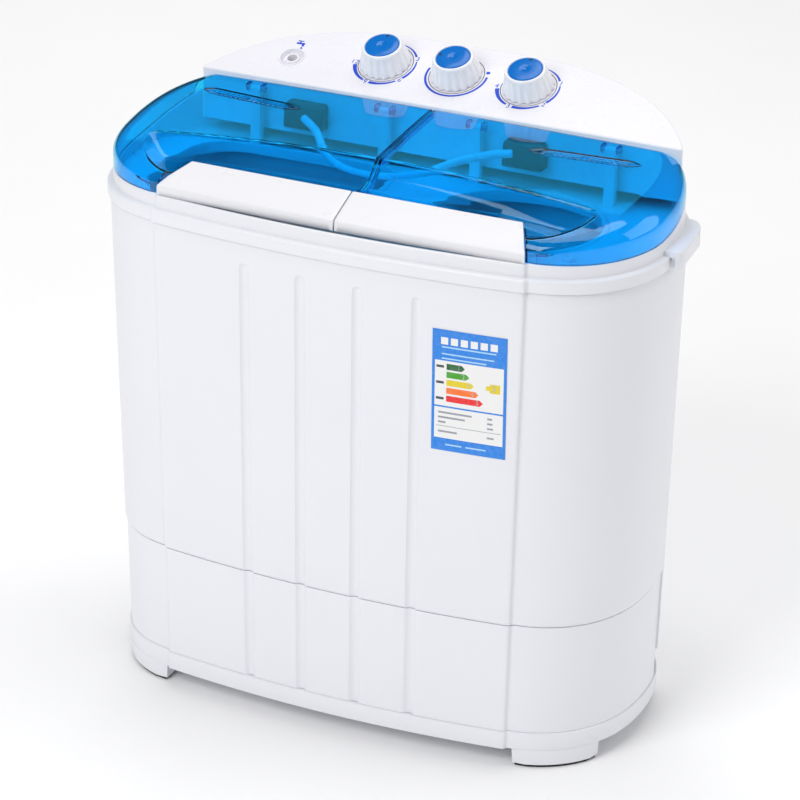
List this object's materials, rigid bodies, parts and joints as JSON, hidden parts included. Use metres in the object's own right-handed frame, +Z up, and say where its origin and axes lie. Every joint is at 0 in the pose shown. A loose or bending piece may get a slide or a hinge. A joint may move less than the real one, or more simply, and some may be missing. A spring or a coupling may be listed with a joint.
{
  "type": "twin tub washer",
  "caption": "Compact twin tub washer: agitator tub and spin basket side by side under two hinged clear lids, with a sloping three-knob panel.",
  "frame": {"origin": "on the floor under the middle of the machine", "axes": "+Z up, front faces -Y, +X to the right of a person facing the back of the room from the front of the machine"},
  "size_m": [0.634, 0.345, 0.6572],
  "materials": {
    "body_white": "smooth white moulded casing",
    "panel_white": "smooth pale grey-white panel with blue print",
    "handle_white": "fine satin white lid bar",
    "lid_blue": "clear polished blue",
    "tub_white": "smooth white tub moulding",
    "knob_white": "glossy fluted knob",
    "cap_blue": "blue insert",
    "dark_plastic": "black moulding",
    "grey_plastic": "grey moulding",
    "hose_clear": "milky clear soft hose",
    "rubber": "black rubber",
    "steel": "plain steel",
    "cast_metal": "cast and painted grey",
    "label": "printed film"
  },
  "bodies": {
    "cabinet": {"base_tray": "body_white", "lower_skirt": "body_white", "upper_casing": "body_white", "rear_cover": "body_white", "top_frame": "body_white", "drain_spigot": "body_white", "control_panel": "panel_white", "water_inlet_socket": "panel_white", "wash_tub": "tub_white", "spin_tub": "tub_white", "lint_filter": "cap_blue", "wash_timer": "dark_plastic", "spin_timer": "dark_plastic", "wash_water_spout": "dark_plastic", "spin_water_spout": "dark_plastic", "brake_post": "dark_plastic", "motor_capacitor": "dark_plastic", "drain_selector": "grey_plastic", "drain_valve": "grey_plastic", "drain_pipe": "grey_plastic", "transfer_hose": "hose_clear", "foot_pad_front_left": "rubber", "foot_pad_front_right": "rubber", "foot_pad_rear_left": "rubber", "foot_pad_rear_right": "rubber", "drive_belt": "rubber", "spin_water_seal": "rubber", "cord_gland": "rubber", "motor_bracket": "steel", "spin_motor_spring_1": "steel", "spin_motor_spring_2": "steel", "spin_motor_spring_3": "steel", "wash_bearing_housing": "cast_metal", "wash_motor": "cast_metal", "spin_motor": "cast_metal", "front_label": "label"},
    "wash_lid": {"wash_lid": "lid_blue", "wash_lid_handle": "handle_white", "wash_lid_pin_inner": "steel", "wash_lid_pin_outer": "steel"},
    "spin_lid": {"spin_lid": "lid_blue", "spin_lid_handle": "handle_white", "spin_lid_pin_inner": "steel", "spin_lid_pin_outer": "steel"},
    "wash_timer_knob": {"wash_timer_knob": "knob_white", "wash_timer_knob_cap": "cap_blue"},
    "drain_knob": {"drain_knob": "knob_white", "drain_knob_cap": "cap_blue"},
    "spin_timer_knob": {"spin_timer_knob": "knob_white", "spin_timer_knob_cap": "cap_blue"},
    "agitator": {"pulsator": "tub_white", "pulsator_shaft": "steel", "wash_pulley": "cast_metal"},
    "wash_motor_rotor": {"wash_motor_pulley": "cast_metal"},
    "spin_basket": {"spin_basket": "tub_white", "balance_ring": "tub_white", "spin_shaft": "steel", "brake_drum": "cast_metal"},
    "brake_lever": {"brake_lever": "steel"},
    "drain_plunger": {"drain_plunger": "dark_plastic"}
  },
  "joints": [
    {"name": "wash_lid_hinge", "type": "hinge", "parent": "cabinet", "child": "wash_lid", "pos_m": [0, 0.059, 0.597], "axis": [-1, 0, 0], "range_deg": [0, 95]},
    {"name": "spin_lid_hinge", "type": "hinge", "parent": "cabinet", "child": "spin_lid", "pos_m": [0, 0.059, 0.597], "axis": [-1, 0, 0], "range_deg": [0, 95]},
    {"name": "wash_timer_turn", "type": "hinge", "parent": "cabinet", "child": "wash_timer_knob", "pos_m": [-0.0815, 0.11968, 0.62656], "axis": [0, 0.3761, -0.9266], "range_deg": [0, 300], "stiffness_Nm_per_rad": 0.01},
    {"name": "drain_select_turn", "type": "hinge", "parent": "cabinet", "child": "drain_knob", "pos_m": [0, 0.11968, 0.62656], "axis": [0, -0.3761, 0.9266], "range_deg": [0, 180]},
    {"name": "spin_timer_turn", "type": "hinge", "parent": "cabinet", "child": "spin_timer_knob", "pos_m": [0.0815, 0.11968, 0.62656], "axis": [0, 0.3761, -0.9266], "range_deg": [0, 300], "stiffness_Nm_per_rad": 0.01},
    {"name": "agitator_spin", "type": "hinge", "parent": "cabinet", "child": "agitator", "pos_m": [-0.136, -0.02, 0.1], "axis": [0, 0, 1], "continuous": true},
    {"name": "wash_motor_spin", "type": "hinge", "parent": "cabinet", "child": "wash_motor_rotor", "pos_m": [-0.03, 0.072, 0.1], "axis": [0, 0, 1], "continuous": true},
    {"name": "basket_spin", "type": "hinge", "parent": "cabinet", "child": "spin_basket", "pos_m": [0.137, -0.03, 0.1], "axis": [0, 0, 1], "continuous": true},
    {"name": "brake_pivot", "type": "hinge", "parent": "cabinet", "child": "brake_lever", "pos_m": [0.185, -0.075, 0.1], "axis": [0, 0, 1], "range_deg": [0, 2.4]},
    {"name": "drain_plunger_lift", "type": "slide", "parent": "cabinet", "child": "drain_plunger", "axis": [0, 0, 1], "range_m": [0, 0.0125]}
  ],
  "couplings": [
    {"joint": "wash_motor_spin", "follows": "agitator_spin", "ratio": 4.383},
    {"joint": "brake_pivot", "follows": "spin_lid_hinge", "ratio": 0.024},
    {"joint": "drain_plunger_lift", "follows": "drain_select_turn", "m_per_rad": 0.0038}
  ]
}
